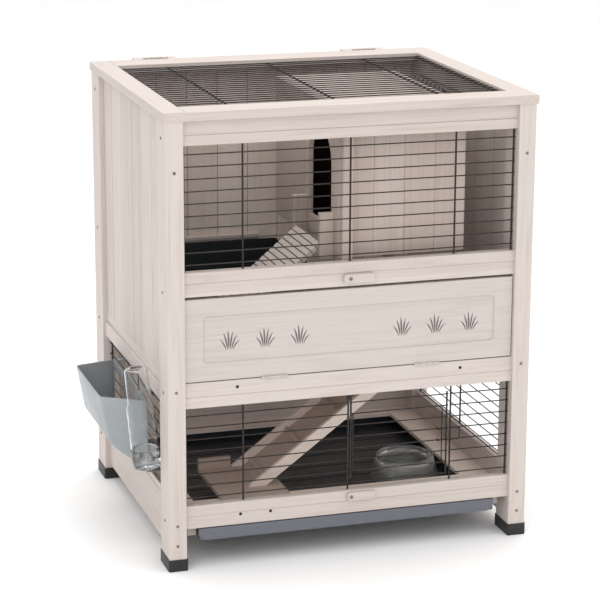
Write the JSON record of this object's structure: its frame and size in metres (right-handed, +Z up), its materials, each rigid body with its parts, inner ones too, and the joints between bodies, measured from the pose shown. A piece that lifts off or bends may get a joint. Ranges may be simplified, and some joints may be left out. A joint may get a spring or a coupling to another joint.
{
  "type": "rabbit hutch",
  "caption": "Two-storey whitewashed wooden rabbit hutch with a hinged wire lid, drop door, wire door, ramps, nest box, trays, feeder and bottle.",
  "frame": {"origin": "middle of the part's footprint on the floor", "axes": "+Z up, the front of the hutch faces -Y, +X to the right seen from the front"},
  "size_m": [0.898, 0.718, 0.9786],
  "materials": {
    "whitewashed_pine": "whitewashed, satin",
    "coated_wire": "dark coated wire",
    "foot_plastic": "black moulded plastic",
    "tray_plastic": "anthracite moulded plastic",
    "litter_tray_plastic": "blue-grey moulded plastic",
    "feeder_plastic": "grey moulded plastic",
    "clear_plastic": "clear moulded plastic",
    "steel": "zinc-plated",
    "pale_hinge_metal": "pale satin",
    "plug_plastic": "black"
  },
  "bodies": {
    "cabinet": {"post_front_left": "whitewashed_pine", "post_front_right": "whitewashed_pine", "post_back_left": "whitewashed_pine", "post_back_right": "whitewashed_pine", "front_top_rail": "whitewashed_pine", "upper_window_head": "whitewashed_pine", "upper_window_sill": "whitewashed_pine", "door_head_rail": "whitewashed_pine", "door_sill_rail": "whitewashed_pine", "lower_window_head": "whitewashed_pine", "lower_window_sill": "whitewashed_pine", "front_bottom_rail": "whitewashed_pine", "left_side_panel": "whitewashed_pine", "right_side_panel": "whitewashed_pine", "back_upper_panel": "whitewashed_pine", "back_lower_panel": "whitewashed_pine", "left_side_rails": "whitewashed_pine", "right_side_rails": "whitewashed_pine", "back_rails": "whitewashed_pine", "floor_frame": "whitewashed_pine", "tray_runners": "whitewashed_pine", "upper_floor": "whitewashed_pine", "floor_battens": "whitewashed_pine", "nest_partition": "whitewashed_pine", "nest_front_wall": "whitewashed_pine", "nest_end_walls": "whitewashed_pine", "nest_floor_and_roof": "whitewashed_pine", "nest_posts": "whitewashed_pine", "slatted_ramp": "whitewashed_pine", "main_ramp_board": "whitewashed_pine", "main_ramp_side_rails": "whitewashed_pine", "main_ramp_battens": "whitewashed_pine", "ramp_landing": "whitewashed_pine", "lid_hinge_blocks": "whitewashed_pine", "upper_front_grille": "coated_wire", "lower_front_grille": "coated_wire", "left_side_grille": "coated_wire", "right_side_grille": "coated_wire", "foot_caps": "foot_plastic", "upper_tray": "tray_plastic", "hinge_fixed_leaves": "pale_hinge_metal", "cabinet_screws": "steel", "turn_button_screws": "steel", "screw_plugs": "plug_plastic"},
    "lid": {"lid_long_boards": "whitewashed_pine", "lid_side_boards": "whitewashed_pine", "lid_grille": "coated_wire", "lid_hinge_moving_leaves": "pale_hinge_metal"},
    "drop_door": {"drop_door": "whitewashed_pine", "door_hinge_moving_leaves": "pale_hinge_metal"},
    "door_turn_button": {"door_turn_button": "whitewashed_pine"},
    "tray_turn_button": {"tray_turn_button": "whitewashed_pine"},
    "litter_tray": {"litter_tray": "litter_tray_plastic"},
    "wire_door": {"wire_door": "coated_wire"},
    "wire_door_latch": {"wire_door_latch": "coated_wire"},
    "hay_feeder": {"hay_feeder": "feeder_plastic"},
    "water_bottle": {"water_bottle": "clear_plastic", "bottle_cap": "clear_plastic", "bottle_spout": "steel"},
    "food_bowl": {"food_bowl": "clear_plastic"}
  },
  "joints": [
    {"name": "lid_hinge", "type": "hinge", "parent": "cabinet", "child": "lid", "pos_m": [0.045, 0.332, 0.9763], "axis": [-1, 0, 0], "range_deg": [0, 100]},
    {"name": "drop_door_hinge", "type": "hinge", "parent": "cabinet", "child": "drop_door", "pos_m": [0.045, -0.3496, 0.4065], "axis": [1, 0, 0], "range_deg": [0, 175]},
    {"name": "door_button_turn", "type": "hinge", "parent": "cabinet", "child": "door_turn_button", "pos_m": [0.039, -0.3524, 0.606], "axis": [0, 1, 0], "range_deg": [0, 90]},
    {"name": "tray_button_turn", "type": "hinge", "parent": "cabinet", "child": "tray_turn_button", "pos_m": [0.045, -0.3524, 0.126], "axis": [0, 1, 0], "range_deg": [0, 90]},
    {"name": "litter_tray_slide", "type": "slide", "parent": "cabinet", "child": "litter_tray", "axis": [0, -1, 0], "range_m": [0, 0.295]},
    {"name": "wire_door_hinge", "type": "hinge", "parent": "cabinet", "child": "wire_door", "pos_m": [0.0425, -0.3361, 0.254], "axis": [0, 0, 1], "range_deg": [-100, 0]},
    {"name": "wire_latch_slide", "type": "slide", "parent": "wire_door", "child": "wire_door_latch", "axis": [-1, 0, 0], "range_m": [0, 0.027]},
    {"name": "feeder_lift", "type": "slide", "parent": "cabinet", "child": "hay_feeder", "axis": [0, 0, 1], "range_m": [0, 0.0118]},
    {"name": "bottle_pull", "type": "slide", "parent": "cabinet", "child": "water_bottle", "axis": [-1, 0, 0], "range_m": [0, 0.08]},
    {"name": "bowl_lift", "type": "slide", "parent": "cabinet", "child": "food_bowl", "axis": [0, 0, 1], "range_m": [0, 0.06]}
  ]
}
